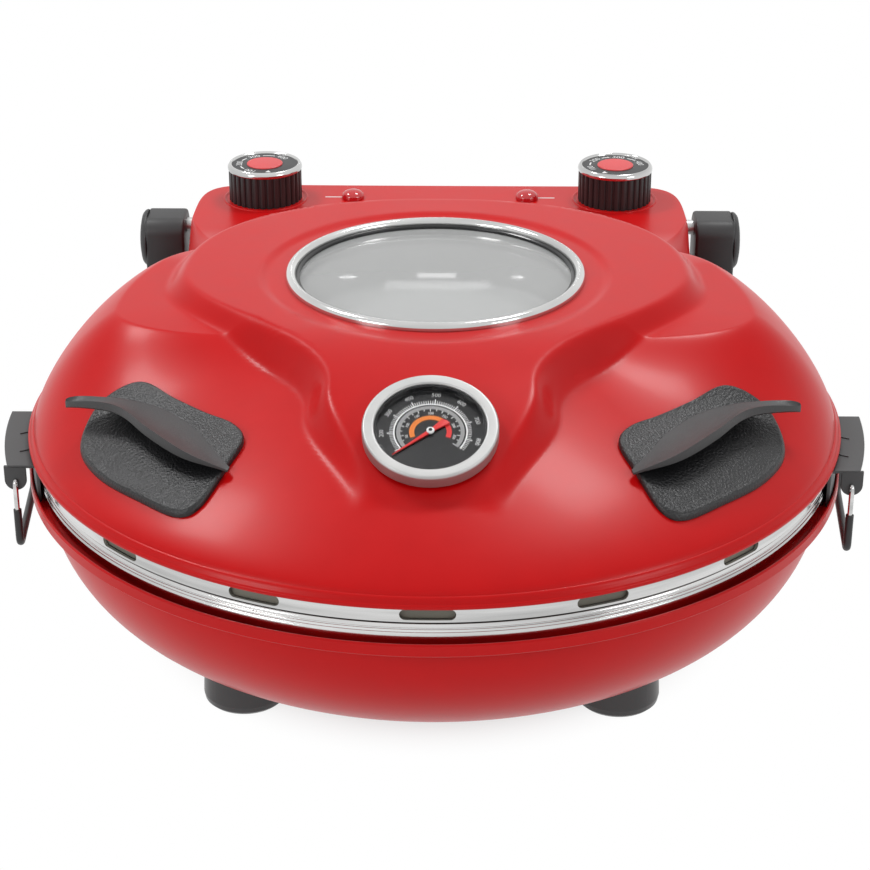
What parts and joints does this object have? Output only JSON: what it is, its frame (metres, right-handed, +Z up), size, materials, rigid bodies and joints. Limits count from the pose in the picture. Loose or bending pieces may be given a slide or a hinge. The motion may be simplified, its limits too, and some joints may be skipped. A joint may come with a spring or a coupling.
{
  "type": "countertop pizza cooker",
  "caption": "Round countertop pizza cooker with a baking stone, a hinged domed lid with window, thermometer and two turning knobs, swinging side bails and four feet.",
  "frame": {"origin": "in the middle of the outline seen from above, in the plane of the feet's bottoms; the vertical axis of the round base, stone and lid rim is at y = -12.86 mm", "axes": "+Z up, -Y towards the front where the handles and thermometer are, +X to the right seen from the front"},
  "size_m": [0.402, 0.4068, 0.1595],
  "materials": {
    "red_enamel": "satin",
    "polished_steel": "polished",
    "satin_steel": "satin",
    "black_plastic": "matte",
    "black_gloss": "gloss",
    "dark_steel": "satin",
    "aluminium_sheet": "satin",
    "stone": "matte",
    "ceramic": "matte",
    "clear_glass": "polished",
    "red_lens": "gloss",
    "pointer_red": "satin",
    "rubber": "matte"
  },
  "bodies": {
    "base": {"base_bowl": "red_enamel", "inner_pan": "aluminium_sheet", "base_trim_ring": "polished_steel", "foot_front_left": "rubber", "foot_front_right": "rubber", "foot_rear_left": "rubber", "foot_rear_right": "rubber", "foot_screws": "satin_steel", "lower_element": "dark_steel", "lower_element_clips": "satin_steel", "terminal_block": "ceramic", "thermal_cutout": "satin_steel", "cord_gland": "black_plastic", "side_bracket_left": "dark_steel", "side_bracket_right": "dark_steel", "hinge_tower_left": "black_plastic", "hinge_tower_right": "black_plastic", "hinge_pin_left": "polished_steel", "hinge_pin_right": "polished_steel", "tower_screws": "satin_steel"},
    "stone": {"baking_stone": "stone"},
    "bail_left": {"bail_wire_left": "polished_steel", "bail_sleeve_left": "black_plastic"},
    "bail_right": {"bail_wire_right": "polished_steel", "bail_sleeve_right": "black_plastic"},
    "lid": {"lid_shell": "red_enamel", "lid_vent_ring": "polished_steel", "lid_reflector": "aluminium_sheet", "window_bezel": "polished_steel", "window_glass": "clear_glass", "window_sleeve": "aluminium_sheet", "inner_glass": "clear_glass", "upper_element": "dark_steel", "upper_element_clips": "satin_steel", "thermometer_case": "satin_steel", "thermometer_dial": "black_gloss", "thermometer_lens": "clear_glass", "handle_left": "black_plastic", "handle_right": "black_plastic", "handle_screws": "satin_steel", "lamp_left": "red_lens", "lamp_right": "red_lens", "lamp_holders": "black_plastic", "wing_cover": "black_plastic", "thermostat_left": "satin_steel", "thermostat_right": "satin_steel", "lid_hinge_arm_left": "satin_steel", "lid_hinge_arm_right": "satin_steel"},
    "pointer": {"thermometer_pointer": "pointer_red"},
    "knob_left": {"knob_body_left": "black_plastic", "knob_ring_left": "polished_steel", "knob_dial_left": "black_gloss"},
    "knob_right": {"knob_body_right": "black_plastic", "knob_ring_right": "polished_steel", "knob_dial_right": "black_gloss"}
  },
  "joints": [
    {"name": "lid_hinge", "type": "hinge", "parent": "base", "child": "lid", "pos_m": [0, 0.18214, 0.1192], "axis": [-1, 0, 0], "range_deg": [0, 95]},
    {"name": "stone_lift", "type": "slide", "parent": "base", "child": "stone", "axis": [0, 0, 1], "range_m": [0, 0.012]},
    {"name": "bail_left_swing", "type": "hinge", "parent": "base", "child": "bail_left", "pos_m": [-0.1914, -0.04096, 0.0882], "axis": [-0.0679, 0.9977, 0], "range_deg": [0, 100]},
    {"name": "bail_right_swing", "type": "hinge", "parent": "base", "child": "bail_right", "pos_m": [0.1914, -0.04096, 0.0882], "axis": [-0.0679, -0.9977, 0], "range_deg": [0, 100]},
    {"name": "knob_left_turn", "type": "hinge", "parent": "lid", "child": "knob_left", "pos_m": [-0.0942, 0.17764, 0.15], "axis": [0, 0, -1], "range_deg": [0, 270]},
    {"name": "knob_right_turn", "type": "hinge", "parent": "lid", "child": "knob_right", "pos_m": [0.0942, 0.17764, 0.15], "axis": [0, 0, -1], "range_deg": [0, 270]},
    {"name": "thermometer_turn", "type": "hinge", "parent": "lid", "child": "pointer", "pos_m": [0, -0.13016, 0.1452], "axis": [0, 0.4067, -0.9135], "range_deg": [0, 260]}
  ]
}
